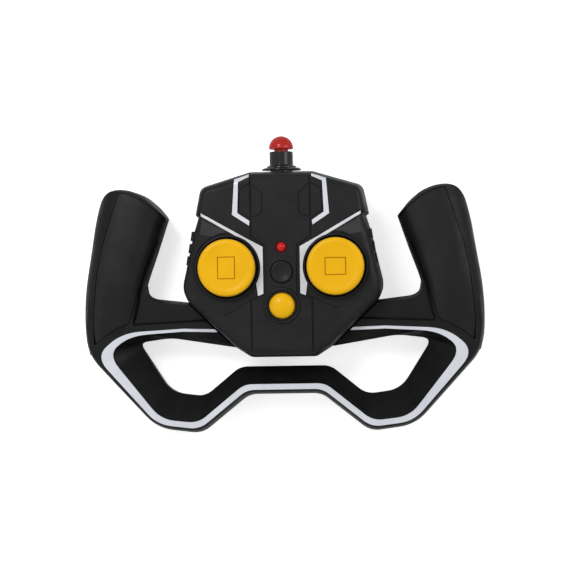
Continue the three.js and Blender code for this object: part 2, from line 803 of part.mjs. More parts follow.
const aerialBore = 1.1;
const aerialMount = () =>
  alongY([
    [aerialBore, aerialSeatY - 2.4],
    [flangeRadius - 2, aerialSeatY - 2.4],
    [flangeRadius - 2, aerialSeatY - 0.6],
    [neckRadius, aerialSeatY - 0.6],
    [neckRadius, podTop + gap],
    [flangeRadius, podTop + gap],
    [flangeRadius, podTop + 0.9],
    [flangeRadius - 0.9, podTop + 1.4],
    [7.3, podTop + 1.6],
    [7.3, podTop + 2.2],
    [collarRadius, podTop + 2.9],
    [collarRadius, collarTop],
    [collarRadius - 1.7, collarTop],
    [collarRadius - 1.7, collarTop - 5.5],
    [aerialBore, collarTop - 5.5],
    [aerialBore, aerialSeatY - 2.4],
  ]);

const aerialTip = () => {
  const neck = collarRadius - 2.3;
  const brim = collarRadius + 0.2;
  const domeFoot = collarTop + 2;
  const dome = [0, 18, 36, 54, 72].map((degrees) => {
    const angle = THREE.MathUtils.degToRad(degrees);
    return [brim * Math.cos(angle), domeFoot + (aerialTop - domeFoot) * Math.sin(angle)];
  });
  return alongY([
    [0, collarTop - 5],
    [neck, collarTop - 5],
    [neck, collarTop + 1.4],
    [brim, collarTop + 1.4],
    ...dome,
    [0, aerialTop],
  ]);
};

const aerialWire = () =>
  wire(
    new THREE.CatmullRomCurve3([
      new THREE.Vector3(0, collarTop - 5.6, aerialZ),
      new THREE.Vector3(0, aerialSeatY - 1, aerialZ),
      new THREE.Vector3(0, aerialSeatY - 5, aerialZ + 1.6),
      new THREE.Vector3(-2, aerialSeatY - 9, boardTop + 2.2),
      new THREE.Vector3(-5, aerialSeatY - 12, boardTop + 0.9),
    ]),
    0.5,
    24,
    6,
  );

// ---- Board, batteries, door -----------------------------------------------------------------------------------------

function circuitBoard() {
  const board = prism(inset(podOutline, boardInset), boardZ, boardTop);
  const clear = screws.filter(isPodScrew).map(([x, y]) => disc(x, y, bossRadius + 0.6, 0, 60, 16));
  const notch = block(0, podTop - boardInset, 6, 12, 0, 60);
  return cutAll(board, [...clear, notch]);
}

const cellPlaces = [
  { name: "battery_1", y: bayY + cellPitch / 2, plus: 1 },
  { name: "battery_2", y: bayY - cellPitch / 2, plus: -1 },
];

function cell({ y, plus }) {
  const half = cellLength / 2;
  const lathe = new THREE.LatheGeometry(
    [
      [0, -half],
      [cellRadius, -half],
      [cellRadius, half - 1.2],
      [2.7, half - 1.2],
      [2.7, half],
      [0, half],
    ].map(v2),
    roundSides,
  );
  return solidOf(lathe.rotateZ((-plus * Math.PI) / 2).translate(0, y, cellZ));
}

const contactX = bayHalfX - 0.35; // middle of each contact's thickness
const contactThick = 0.5;

// A pressed contact plate at the end of one cell, or across both where span is true.
function contactPlate(end, y, span) {
  const height = span ? cellPitch + 10 : 10;
  return block(end * contactX, span ? bayY : y, contactThick, height, cellZ - 5, cellZ + 5);
}

// A coil that bears on a cell's flat end.
function contactSpring({ y, plus }) {
  const from = contactX - contactThick / 2 - 0.35 - 0.3;
  const to = cellLength / 2 + 0.35 + 0.3;
  const turns = 2.5;
  const points = Array.from({ length: 31 }, (_, i) => {
    const t = i / 30;
    const angle = 2 * Math.PI * turns * t;
    const radius = 3.8 - 1.2 * t;
    return new THREE.Vector3(
      -plus * THREE.MathUtils.lerp(from, to, t),
      y + radius * Math.cos(angle),
      cellZ + radius * Math.sin(angle),
    );
  });
  return wire(new THREE.CatmullRomCurve3(points), 0.35, 26, 4);
}

const leadHole = (end) => bar([end * (bayHalfX - 1), leadY(end), 13], [end * (bayHalfX + 5), leadY(end), 13], 1.1, 10);
const leadY = (end) => bayY + (end > 0 ? 1 : -1) * (cellPitch / 2);

// An insulated lead from a contact up to the board.
function batteryLead(end) {
  const y = leadY(end);
  const x = bayHalfX;
  return wire(
    new THREE.CatmullRomCurve3([
      new THREE.Vector3(end * (x + 0.3), y, 13),
      new THREE.Vector3(end * (x + 3), y, 13),
      new THREE.Vector3(end * (x + 5.6), y, 14.5),
      new THREE.Vector3(end * (x + 6.4), y, boardZ - gap),
    ]),
    0.6,
    12,
    6,
  );
}

function batteryDoor() {
  const clearEdge = block(0, hingeY + 5.3, everywhere, 10, -1, 5);
  const plate = doorPrism(0, 0.3, doorThick).subtract(clearEdge);
  const lipX = bayHalfX - 1.2;
  const lipLength = 2 * bayHalfY - 6;
  const lips = [-1, 1].map((side) => block(side * lipX, bayY, 1.2, lipLength, doorThick - 0.2, doorThick + 1.6));
  const ears = hingeEars.map((x) => hingeBar(x, knuckleWide / 2 - slip, hingeRadius));
  const pins = hingeEars.map((x) => hingeBar(x, knuckleWide / 2 + hingeGrip, hingePin));
  const arms = hingeEars.map((x) => block(x, hingeY - 1, knuckleWide - 2 * slip, 2.6, 0.3, doorThick));
  const boss = disc(0, doorScrewY, doorBoss, 0.3, doorBossTop, 16);
  const sink = disc(0, doorScrewY, screwHead + gap, -1, 2.1, 16);
  const drill = disc(0, doorScrewY, screwShank + gap, -1, 5, 12);
  return cutAll(join([plate, boss, ...lips, ...arms, ...ears, ...pins]), [sink, drill]);
}

// A cross-head screw pointing up, its head's outer face at height z.
function screw(x, y, z, top) {
  const shape = turned(
    [
      [0, z],
      [screwHead, z],
      [screwHead, z + 1.5],
      [screwShank, z + 1.5],
      [screwShank, top - 1],
      [0, top],
    ],
    x,
    y,
    12,
  );
  const slots = [block(x, y, 3.2, 0.7, z - 1, z + 0.7), block(x, y, 0.7, 3.2, z - 1, z + 0.7)];
  return cutAll(shape, slots);
}

// ---- Assembly --------------------------------------------------------------------------------------------------------

piece("rear_shell", rearShell(), shellBlack);
piece("wheel_front_shell", wheelFront(), shellBlack);
piece("pod_cover", podCover(), shellBlack);
piece("left_grip_panel", gripPanel(-1), grainBlack);
piece("right_grip_panel", gripPanel(1), grainBlack);
piece("wheel_stripe", wheelStripe(), silver);
for (const [side, word] of [[-1, "left"], [1, "right"]])
  podTrims.forEach(([name, outline]) => piece(`${word}_${name}`, podTrim(outline, side), silver));
for (const stick of sticks) {
  piece(`${stick.name}_cap`, stickCap(stick), yellow);
  piece(`${stick.name}_post`, stickPost(stick), shellBlack);
  piece(`${stick.name}_axle`, axleBar(stick, 7.6, axleRadius), steel);
  piece(`${stick.name}_bracket`, stickBracket(stick), nylon);
}
domePlaces.forEach(({ name, x, y }) => piece(name, dome(x, y, pivotZ - 6.5 - gap), silicone));
piece("fire_button", fireButton(), yellow);
piece("power_button", powerButton(), glossBlack);
piece("fire_button_dome", dome(0, fireY, stemFoot - gap), silicone);
piece("power_button_dome", dome(0, powerY, stemFoot - gap), silicone);
piece("status_lamp", lamp(), red);
piece("aerial_mount", aerialMount(), glossBlack);
piece("aerial_tip", aerialTip(), red);
piece("aerial_wire", aerialWire(), copper);
piece("circuit_board", circuitBoard(), boardGreen);
piece("control_chip", block(0, 34, 10, 6, boardTop + gap, boardTop + gap + 1.6), chipBlack);
piece("crystal", block(10, 34, 4, 10, boardTop + gap, boardTop + gap + 3.2), steel);
piece("capacitor", disc(-12, 31, 3, boardTop + gap, boardTop + gap + 7, 16), cellSleeve);
cellPlaces.forEach((place) => piece(place.name, cell(place), cellSleeve));
piece("contact_plus", contactPlate(1, cellPlaces[0].y, false), steel);
piece("contact_minus", contactPlate(1, cellPlaces[1].y, false), steel);
piece("contact_bridge", contactPlate(-1, bayY, true), steel);
cellPlaces.forEach((place, n) => piece(`contact_spring_${n + 1}`, contactSpring(place), steel));
piece("battery_lead_red", batteryLead(1), red);
piece("battery_lead_black", batteryLead(-1), chipBlack);
piece("battery_door", batteryDoor(), shellBlack);
piece("door_screw", screw(0, doorScrewY, 0.35, 6.2), steel);
screws.forEach(([x, y], n) => piece(`shell_screw_${n + 1}`, screw(x, y, headSeat - 1.5 - gap, screwTop), steel));

const extent = new THREE.Box3().setFromObject(transmitter);
transmitter.position.y = -(extent.min.y + extent.max.y) / 2;

export default transmitter;
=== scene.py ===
"""Looks of a toy radio transmitter shaped like a racing wheel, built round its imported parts.

Shapes are drawn in millimetres and settled to metres when each piece is done.
"""

import json
import math

import bpy
from mathutils import Matrix, Vector

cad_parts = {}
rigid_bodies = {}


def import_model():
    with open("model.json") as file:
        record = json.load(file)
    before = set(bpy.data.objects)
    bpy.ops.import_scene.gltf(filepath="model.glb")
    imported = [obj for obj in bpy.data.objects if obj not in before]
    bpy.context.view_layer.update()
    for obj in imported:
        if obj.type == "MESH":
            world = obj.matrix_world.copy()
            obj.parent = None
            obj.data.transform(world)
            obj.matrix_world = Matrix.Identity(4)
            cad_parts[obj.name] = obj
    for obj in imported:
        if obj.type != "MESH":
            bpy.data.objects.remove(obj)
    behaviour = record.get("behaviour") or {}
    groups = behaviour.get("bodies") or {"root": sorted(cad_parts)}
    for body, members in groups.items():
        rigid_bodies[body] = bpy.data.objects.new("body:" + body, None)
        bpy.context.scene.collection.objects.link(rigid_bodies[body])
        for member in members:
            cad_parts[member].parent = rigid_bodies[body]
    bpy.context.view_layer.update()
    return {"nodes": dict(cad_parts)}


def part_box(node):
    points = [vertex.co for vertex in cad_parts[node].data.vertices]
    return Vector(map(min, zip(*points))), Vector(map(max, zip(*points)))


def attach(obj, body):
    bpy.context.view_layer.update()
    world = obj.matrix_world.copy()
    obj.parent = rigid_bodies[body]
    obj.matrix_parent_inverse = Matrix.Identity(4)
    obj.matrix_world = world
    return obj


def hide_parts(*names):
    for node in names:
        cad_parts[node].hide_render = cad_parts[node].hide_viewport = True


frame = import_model()

MM = 0.001

# ---- Sizes of the transmitter, in millimetres ----------------------------------------------------

GAP = 0.3
SLIP = 0.35
WALL = 2
CORNER_STEPS = 7

HALF_WIDTH = 100
PARTING_Z = 15
RIM_FRONT = 27
RIM_REAR = 3
STRIPE_THICK = 1.2
STRIPE_LAND = 0.15
PANEL_THICK = 2.6

GRIP_FRONT = 31
GRIP_REAR = 1
GRIP_ROUNDNESS = 0.72

POD_HALF = 50.2
POD_TOP = 55.9
POD_BOTTOM = -36.6
POD_FRONT = 40.5
COVER_CEILING = 36.2
GROOVE_DEEP = 1.2
TRIM_THICK = 0.8
WELL_SHAVE = 0.12
POD_SMOOTH_ANGLE = 18.5

STICK_X = 26.3
STICK_Y = 8.3
CAP_RADIUS = 13.9
CAP_TOP = 49.5
CAP_THICK = 6
WELL_RADIUS = 15.1
WELL_WALL = 0.6
WELL_RIM = 41.2
WELL_FLOOR = 38
POST_RADIUS = 3
FLANK_X = STICK_X - WELL_RADIUS - WELL_WALL - GAP - 1.3

FIRE_Y = -10.5
FIRE_RADIUS = 6.2
POWER_Y = 5.9
POWER_RADIUS = 5.3
LAMP_Y = 18
LAMP_RADIUS = 2.5

AERIAL_Z = 20
AERIAL_TOP = 73.2
COLLAR_RADIUS = 5.8
COLLAR_TOP = 65.4
FLANGE_RADIUS = 9.7
NECK_RADIUS = 5.6
AERIAL_SEAT_Y = POD_TOP - WALL - 0.8

BAY_Y = 5
BAY_HALF_X = 28.2
BAY_HALF_Y = 15.2
BAY_TOP = 17.2
BAY_WALL = 1.6
DOOR_HALF_X = BAY_HALF_X + 2.6
DOOR_TOP_Y = BAY_Y + BAY_HALF_Y + 2.6
DOOR_BOTTOM_Y = BAY_Y - BAY_HALF_Y - 8.5
DOOR_THICK = 1.8
DOOR_SCREW_Y = DOOR_BOTTOM_Y + 4.2
HINGE_RADIUS = 1.3
HINGE_Y = DOOR_TOP_Y - HINGE_RADIUS

SCREW_HEAD = 2.8
HEAD_SEAT = 8
SCREW_PLACES = [(33, 38.5), (19, -25.5), (78, 33), (83, -20), (52, -65)]

# The parts sit a little higher up the page than the drawing: the fire button says by how much.
fire_low, fire_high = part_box("fire_button")
PAGE_SHIFT = (fire_low.y + fire_high.y) / 2 / MM - FIRE_Y


# ---- Outlines ------------------------------------------------------------------------------------


def both_sides(half):
    """Mirrors the right half of an outline, listed anticlockwise from the bottom middle, onto the left."""
    left = [(-c[0], *c[1:]) for c in half if c[0] > 0]
    return half + left[::-1]


RIM = both_sides([
    (18, -55, 4), (42, -74.33, 5), (64.5, -71.4, 8), (97.8, -35, 7), (99.9, -21, 5),
    (97.8, 2), (68.5, 2), (67.4, -6.4, 6), (48.2, -8.6),
])
WINDOW = both_sides([
    (22.6, -41.1, 4), (40.4, -55.8, 5), (57.3, -53.6, 7), (73.3, -28.5, 5), (56.3, -26.3, 5),
    (24, -31.6), (16, -33),
])
RIDGE = both_sides([
    (20, -49.2, 4), (43.2, -68, 5), (61.5, -66, 7), (87.2, -33.5, 9), (76, -24.6, 9), (50, -23), (16, -24),
])
STRIPE = both_sides([
    (18.7, -52.1, 4), (42.5, -71.2, 5), (63.3, -68.6, 7), (93.6, -34.4, 9), (80, -23, 9), (50, -21.4),
    (16, -22.4),
])
POD = both_sides([
    (16, POD_BOTTOM, 1.5), (24, -31.4), (47.5, -8.6, 3), (POD_HALF, -1.5, 4), (46.6, 14), (44.2, 25), (41.7, 33),
    (43.1, 34.2), (40.3, 48.4, 3), (15.3, POD_TOP),
])
GROOVE = [
    (14.3, -38.6), (15.4, -38.6), (15.4, -7.2), (FLANK_X, -4.3), (FLANK_X, 18.6), (15, 22.9), (15, 57.9),
    (13.9, 57.9), (13.9, 23.4), (7.1, 18.9), (7.1, -5.2), (14.3, -8.3),
]
GRIP_PANEL = [
    (76.8, -18.6, 1.5), (82.3, -20.4), (88.4, -24.2), (93.9, -28.6, 1.5), (94.1, -17), (91.6, 6.5), (88.9, 19.5),
    (84.2, 34), (80.2, 46.1, 1.5), (75, 45.1), (68.4, 41.6), (62.2, 37), (58, 32.1, 1), (61.9, 23.6), (67.3, 11),
    (72.1, -3.8),
]
SHOULDER_TRIM = [
    (15.2, 52.3), (20.4, 49.9), (21, 34.8), (15.2, 30.9), (15.4, 28.6), (23.6, 34), (22.3, 51.3), (15.2, 53.6),
]
FLANK_TRIM = [
    (FLANK_X, -4.6), (FLANK_X + 2.6, -5.6), (FLANK_X + 4.5, STICK_Y), (FLANK_X + 9, 21.4), (39, 33.7),
    (38.9, 35.1), (FLANK_X + 7, 22), (FLANK_X, 18.2),
]
HEXAGON = [(19.8, 46.2), (14.5, 49.2), (8.9, 44.3), (8.9, 35.6), (10.6, 33.4), (15.6, 32.5), (20.3, 35.5)]
# Outline of the patch on each flank facet that carries a painted reflection.
FLANK_REFLECTION_PATCH = [(38.4, 32), (39.4, 24.6), (33.6, 23.6), (29.8, 25.2), (25.4, 25.6)]

# Sections of a grip: y, inner and outer x measured in from the half width, rear z, front z.
GRIP_SECTIONS = [
    (-34, 22, 2.6, 6, 26.4),
    (-26, 25, 0.8, 3, 27),
    (-14, 29, 0.5, 1.5, 29.5),
    (0, 31.6, 1.6, GRIP_REAR, GRIP_FRONT),
    (16, 37.2, 4.2, GRIP_REAR, GRIP_FRONT),
    (33.6, 43.2, 7.2, GRIP_REAR + 0.3, GRIP_FRONT - 0.3),
    (49.2, 48.8, 11.4, GRIP_REAR + 0.8, GRIP_FRONT - 0.8),
]
# The sections run on past the end of the grip, which this outline rounds off.
GRIP_END = [
    (30, -45), (120, -45), (120, 30), (93.3, 30), (91.8, 36.5), (90.2, 42.2, 3), (86.2, 46.9, 3), (81.2, 48.2, 3),
    (75, 47.4, 3), (68.7, 44.8, 3), (62.5, 39.6, 3), (56.8, 32.4, 1),
]


def mirrored(outline):
    return [(-c[0], *c[1:]) for c in outline][::-1]


def sided(outline, side):
    return outline if side > 0 else mirrored(outline)


def inset(outline, d):
    """Moves every edge of an anticlockwise outline inwards by d, or outwards where d is negative."""
    moved = []
    for i, corner in enumerate(outline):
        here = Vector(corner[:2])
        a = (here - Vector(outline[i - 1][:2])).normalized()
        b = (Vector(outline[(i + 1) % len(outline)][:2]) - here).normalized()
        k = d / (1 + a.dot(b))
        moved.append((here.x - k * (a.y + b.y), here.y + k * (a.x + b.x), *corner[2:]))
    return moved


def rounded(outline, steps=CORNER_STEPS, closed=True):
    """Points of an outline whose corners are (x, y) or (x, y, distance over which the corner is rounded off)."""
    points = []
    last = len(outline) - 1
    for i, corner in enumerate(outline):
        here = Vector(corner[:2])
        if len(corner) < 3 or (not closed and i in (0, last)):
            points.append(here)
            continue
        ends = []
        for other in (outline[i - 1], outline[(i + 1) % len(outline)]):
            far = Vector(other[:2])
            ends.append(here.lerp(far, min(0.45, corner[2] / (far - here).length)))
        for s in range(steps + 1):
            t = s / steps
            points.append(ends[0].lerp(here, t).lerp(here.lerp(ends[1], t), t))
    return points


# ---- Modelling by hand ---------------------------------------------------------------------------


def put_down():
    """Leaves edit mode with nothing selected."""
    if bpy.context.mode != "OBJECT":
        bpy.ops.object.mode_set(mode="OBJECT")
    bpy.ops.object.select_all(action="DESELECT")


def take_up(piece):
    """Makes one piece the only one that is selected."""
    put_down()
    bpy.context.view_layer.objects.active = piece
    piece.select_set(True)


def start_point(name):
    """A new piece of one vertex at the origin, in edit mode."""
    put_down()
    bpy.ops.mesh.primitive_plane_add(size=1)
    piece = bpy.context.object
    piece.name = name
    bpy.ops.object.mode_set(mode="EDIT")
    bpy.ops.mesh.merge(type="CENTER")
    return piece


def trace(points):
    """Draws a chain of edges through points from the one vertex that is selected at the origin."""
    bpy.ops.transform.translate(value=points[0])
    for a, b in zip(points, points[1:]):
        bpy.ops.mesh.extrude_vertices_move(TRANSFORM_OT_translate={"value": b - a})


def loft(name, rings):
    """A closed solid through rings of points, each traced as a loop and bridged to the one before."""
    piece = start_point(name)
    for k, ring in enumerate(rings):
        if k:
            bpy.ops.mesh.select_all(action="DESELECT")
            bpy.ops.mesh.primitive_plane_add(size=1)
            bpy.ops.mesh.merge(type="CENTER")
        trace(ring)
        bpy.ops.mesh.select_linked()
        bpy.ops.mesh.edge_face_add()
    bpy.ops.mesh.select_all(action="SELECT")
    bpy.ops.mesh.delete(type="ONLY_FACE")
    bpy.ops.mesh.select_all(action="SELECT")
    bpy.ops.mesh.bridge_edge_loops()
    close_up()
    return piece


def close_up():
    """Fills open ends, turns the faces outwards and leaves edit mode."""
    bpy.ops.mesh.select_all(action="SELECT")
    bpy.ops.mesh.fill_holes(sides=0)
    bpy.ops.mesh.select_all(action="SELECT")
    bpy.ops.mesh.normals_make_consistent(inside=False)
    bpy.ops.object.mode_set(mode="OBJECT")


def flat_ring(outline, z):
    return [Vector((p.x, p.y, z)) for p in rounded(outline)]


def tapered(name, outline, levels):
    """A solid whose outline steps in by levels of (z, inset)."""
    return loft(name, [flat_ring(inset(outline, d), z) for z, d in levels])


def prism(name, outline, low, high):
    return tapered(name, outline, [(low, 0), (high, 0)])


def rectangle(x, y, wide, tall):
    return [
        (x - wide / 2, y - tall / 2), (x + wide / 2, y - tall / 2), (x + wide / 2, y + tall / 2),
        (x - wide / 2, y + tall / 2),
    ]


def block(name, x, y, wide, tall, low, high):
    return prism(name, rectangle(x, y, wide, tall), low, high)


def turned(name, profile, x=0.0, y=0.0, steps=72, curve=4):
    """A round solid about Z, spun from a profile of (radius, z) or (radius, z, rounding)."""
    piece = start_point(name)
    trace([Vector((x + p.x, y, p.y)) for p in rounded(profile, curve, closed=False)])
    bpy.ops.mesh.select_all(action="SELECT")
    bpy.ops.mesh.spin(steps=steps, angle=math.tau, center=(x, y, 0), axis=(0, 0, 1))
    bpy.ops.mesh.select_all(action="SELECT")
    bpy.ops.mesh.remove_doubles(threshold=0.0005)
    close_up()
    return piece


def disc(name, x, y, radius, low, high, steps=64):
    return turned(name, [(0, low), (radius, low), (radius, high), (0, high)], x, y, steps)


def along_y(name, profile, steps=72):
    """A round solid about the aerial's line, spun from a profile of (radius, y)."""
    piece = start_point(name)
    trace([Vector((p.x, p.y, AERIAL_Z)) for p in rounded(profile, 4, closed=False)])
    bpy.ops.mesh.select_all(action="SELECT")
    bpy.ops.mesh.spin(steps=steps, angle=math.tau, center=(0, 0, AERIAL_Z), axis=(0, 1, 0))
    bpy.ops.mesh.select_all(action="SELECT")
    bpy.ops.mesh.remove_doubles(threshold=0.0005)
    close_up()
    return piece


def bar_x(name, x, half, y, z, radius, steps=32):
    """A round bar that lies along X."""
    put_down()
    bpy.ops.mesh.primitive_circle_add(vertices=steps, radius=radius, fill_type="NGON")
    piece = bpy.context.object
    piece.name = name
    bpy.ops.object.mode_set(mode="EDIT")
    bpy.ops.mesh.select_all(action="SELECT")
    bpy.ops.transform.rotate(value=math.pi / 2, orient_axis="Y", center_override=(0, 0, 0))
    bpy.ops.transform.translate(value=(x - half, y, z))
    bpy.ops.mesh.extrude_region_move(TRANSFORM_OT_translate={"value": (2 * half, 0, 0)})
    close_up()
    return piece


def combine(piece, tool, way):
    take_up(piece)
    step = piece.modifiers.new("shape", "BOOLEAN")
    step.operation = way
    step.solver = "MANIFOLD"
    step.object = tool
    bpy.ops.object.modifier_apply(modifier=step.name)
    bpy.data.objects.remove(tool)
    return piece


def cut(piece, *tools):
    for tool in tools:
        combine(piece, tool, "DIFFERENCE")
    return piece


def add(piece, *tools):
    for tool in tools:
        combine(piece, tool, "UNION")
    return piece


def keep(piece, tool):
    return combine(piece, tool, "INTERSECT")


def copied(piece, name):
    """A copy of a piece with its own mesh."""
    take_up(piece)
    bpy.ops.object.duplicate(linked=False)
    twin = bpy.context.object
    twin.name = name
    return twin


def soften(piece, width, angle=35, segments=2):
    """Breaks every sharp edge of a piece."""
    take_up(piece)
    step = piece.modifiers.new("edges", "BEVEL")
    step.width = width
    step.segments = segments
    step.limit_method = "ANGLE"
    step.angle_limit = math.radians(angle)
    step.use_clamp_overlap = True
    bpy.ops.object.modifier_apply(modifier=step.name)
    return piece


def settle(piece, body, material, replaces=(), smooth=32):
    """Brings a finished piece to metres in the parts' frame, smooths it and fixes it to its body."""
    take_up(piece)
    piece.scale = (MM, MM, MM)
    piece.location = (0, PAGE_SHIFT * MM, 0)
    bpy.ops.object.transform_apply(location=True, rotation=True, scale=True)
    bpy.ops.object.shade_smooth_by_angle(angle=math.radians(smooth))
    weigh = piece.modifiers.new("shading", "WEIGHTED_NORMAL")
    weigh.keep_sharp = True
    weigh.weight = 60
    bpy.ops.object.modifier_apply(modifier=weigh.name)
    piece.data.materials.clear()
    piece.data.materials.append(material)
    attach(piece, body)
    if replaces:
        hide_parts(*replaces)
    return piece


# ---- Finishes ------------------------------------------------------------------------------------


def finish_base(name, colour, roughness, **sockets):
    material = bpy.data.materials.new(name)
    material.use_nodes = True
    shader = material.node_tree.nodes["Principled BSDF"]
    shader.inputs["Base Color"].default_value = (*colour, 1)
    shader.inputs["Roughness"].default_value = roughness
    for socket, value in sockets.items():
        shader.inputs[socket.replace("_", " ")].default_value = value
    return material, material.node_tree, shader


def spots(tree, scale, detail=2.0, stretch=(1, 1, 1), turn=(0, 0, 0)):
    """Noise over the piece's own place, scale in spots per metre."""
    place = tree.nodes.new("ShaderNodeTexCoord")
    lay = tree.nodes.new("ShaderNodeMapping")
    lay.inputs["Scale"].default_value = stretch
    lay.inputs["Rotation"].default_value = turn
    noise = tree.nodes.new("ShaderNodeTexNoise")
    noise.inputs["Scale"].default_value = scale
    noise.inputs["Detail"].default_value = detail
    tree.links.new(place.outputs["Object"], lay.inputs["Vector"])
    tree.links.new(lay.outputs["Vector"], noise.inputs["Vector"])
    return noise.outputs["Fac"]


def between(tree, source, low, high):
    span = tree.nodes.new("ShaderNodeMapRange")
    span.inputs["From Min"].default_value = 0.3
    span.inputs["From Max"].default_value = 0.7
    span.inputs["To Min"].default_value = low
    span.inputs["To Max"].default_value = high
    tree.links.new(source, span.inputs["Value"])
    return span.outputs["Result"]


def tint(tree, source, low, high):
    ramp = tree.nodes.new("ShaderNodeValToRGB")
    ramp.color_ramp.elements[0].position = 0.32
    ramp.color_ramp.elements[1].position = 0.68
    ramp.color_ramp.elements[0].color = (*low, 1)
    ramp.color_ramp.elements[1].color = (*high, 1)
    tree.links.new(source, ramp.inputs["Fac"])
    return ramp.outputs["Color"]


def relief(tree, shader, source, strength, depth):
    bump = tree.nodes.new("ShaderNodeBump")
    bump.inputs["Strength"].default_value = strength
    bump.inputs["Distance"].default_value = depth
    tree.links.new(source, bump.inputs["Height"])
    last = shader.inputs["Normal"].links
    if last:
        tree.links.new(last[0].from_socket, bump.inputs["Normal"])
    tree.links.new(bump.outputs["Normal"], shader.inputs["Normal"])


def moulded(name, dark, light, rough, grain=2600, depth=0.00004, **sockets):
    """Moulded plastic: a fine spark grain, a slow change of colour, and handling marks in its gloss."""
    material, tree, shader = finish_base(name, light, sum(rough) / 2, **sockets)
    tree.links.new(tint(tree, spots(tree, 90, 5), dark, light), shader.inputs["Base Color"])
    tree.links.new(between(tree, spots(tree, 240, 6), *rough), shader.inputs["Roughness"])
    relief(tree, shader, spots(tree, grain, 3), 0.35, depth)
    return material


shell_black = moulded(
    "shell_black", (0.0055, 0.0055, 0.006), (0.0085, 0.0085, 0.009),
    (0.34, 0.48), Specular_IOR_Level=0.12,
)
face_black = moulded(
    "face_black", (0.0075, 0.0075, 0.008), (0.0115, 0.0115, 0.012),
    (0.34, 0.48), 3200, Specular_IOR_Level=0.14,
)
gloss_black = moulded(
    "gloss_black", (0.005, 0.005, 0.0055), (0.008, 0.008, 0.0085),
    (0.10, 0.18), 1500, 0.00001, Specular_IOR_Level=0.3,
)
# A painted reflection: glossy black made a lighter grey, so the flank facets show the light they would reflect.
painted_reflection_grey = moulded(
    "painted_reflection_grey", (0.020, 0.020, 0.0225), (0.034, 0.034, 0.037),
    (0.10, 0.18), 1500, 0.00001, Specular_IOR_Level=0.3,
)
yellow = moulded(
    "stick_yellow", (0.82, 0.435, 0.002), (0.87, 0.470, 0.003),
    (0.22, 0.34), 3000, 0.00001, Specular_IOR_Level=0.16,
)
silver = moulded(
    "silver_trim", (0.60, 0.62, 0.67), (0.68, 0.70, 0.75),
    (0.30, 0.40), 4200, 0.00001, Metallic=0.1,
)
steel = moulded("steel", (0.42, 0.43, 0.45), (0.56, 0.57, 0.59), (0.26, 0.42), 1800, 0.00001, Metallic=1.0)
board_green = moulded("board_green", (0.008, 0.10, 0.032), (0.012, 0.15, 0.045), (0.3, 0.45), 900, 0.00003)
nylon = moulded("nylon", (0.60, 0.57, 0.49), (0.68, 0.65, 0.57), (0.42, 0.55))
silicone = moulded("silicone", (0.42, 0.44, 0.47), (0.50, 0.52, 0.55), (0.60, 0.75))
cell_sleeve = moulded("cell_sleeve", (0.035, 0.13, 0.36), (0.05, 0.17, 0.43), (0.25, 0.4))
copper = moulded("copper", (0.52, 0.21, 0.09), (0.68, 0.29, 0.13), (0.3, 0.45), Metallic=1.0)
chip_black = moulded("chip_black", (0.005, 0.005, 0.006), (0.009, 0.009, 0.010), (0.4, 0.55))
lead_red = moulded("lead_red", (0.42, 0.018, 0.012), (0.52, 0.025, 0.016), (0.35, 0.5))
red_clear = moulded(
    "red_clear", (0.40, 0.010, 0.006), (0.50, 0.015, 0.009),
    (0.14, 0.22), 700, 0.00001, Specular_IOR_Level=0.22,
)
lamp_red = moulded(
    "lamp_red", (0.46, 0.005, 0.003), (0.60, 0.009, 0.005),
    (0.08, 0.14), 700, 0.000005, Specular_IOR_Level=0.25,
)


def grip_grain():
    """Soft black with fine slanting threads, as on a woven inlay."""
    material, tree, shader = finish_base("grip_grain", (0.008, 0.008, 0.0085), 0.5, Specular_IOR_Level=0.15)
    place = tree.nodes.new("ShaderNodeTexCoord")
    lay = tree.nodes.new("ShaderNodeMapping")
    lay.inputs["Rotation"].default_value = (0, 0, math.radians(52))
    tree.links.new(place.outputs["Object"], lay.inputs["Vector"])
    threads = tree.nodes.new("ShaderNodeTexWave")
    threads.bands_direction = "X"
    threads.inputs["Scale"].default_value = 260
    threads.inputs["Distortion"].default_value = 0.6
    threads.inputs["Detail"].default_value = 1
    tree.links.new(lay.outputs["Vector"], threads.inputs["Vector"])
    shade = tint(tree, spots(tree, 90, 5), (0.006, 0.006, 0.0065), (0.010, 0.010, 0.0105))
    tree.links.new(shade, shader.inputs["Base Color"])
    tree.links.new(between(tree, spots(tree, 240, 6), 0.34, 0.48), shader.inputs["Roughness"])
    relief(tree, shader, spots(tree, 3000, 3), 0.3, 0.00003)
    relief(tree, shader, threads.outputs["Fac"], 0.3, 0.00008)
    return material


grain_black = grip_grain()

# ---- Wheel ---------------------------------------------------------------------------------------


def smooth_sections(sections, steps=4):
    """Sections with steps more between each two, on a smooth curve through them."""
    out = []
    for k in range(len(sections) - 1):
        p0, p1, p2, p3 = (Vector(sections[max(0, min(len(sections) - 1, k + j))]) for j in (-1, 0, 1, 2))
        for s in range(steps):
            t = s / steps
            a = (p2 - p0) * 0.5 if k else p2 - p1
            b = (p3 - p1) * 0.5 if k + 2 < len(sections) else p2 - p1
            out.append(
                p1 * (2 * t**3 - 3 * t**2 + 1) + a * (t**3 - 2 * t**2 + t)
                + p2 * (3 * t**2 - 2 * t**3) + b * (t**3 - t**2)
            )
    out.append(Vector(sections[-1]))
    return out


SECTION_POINTS = 56


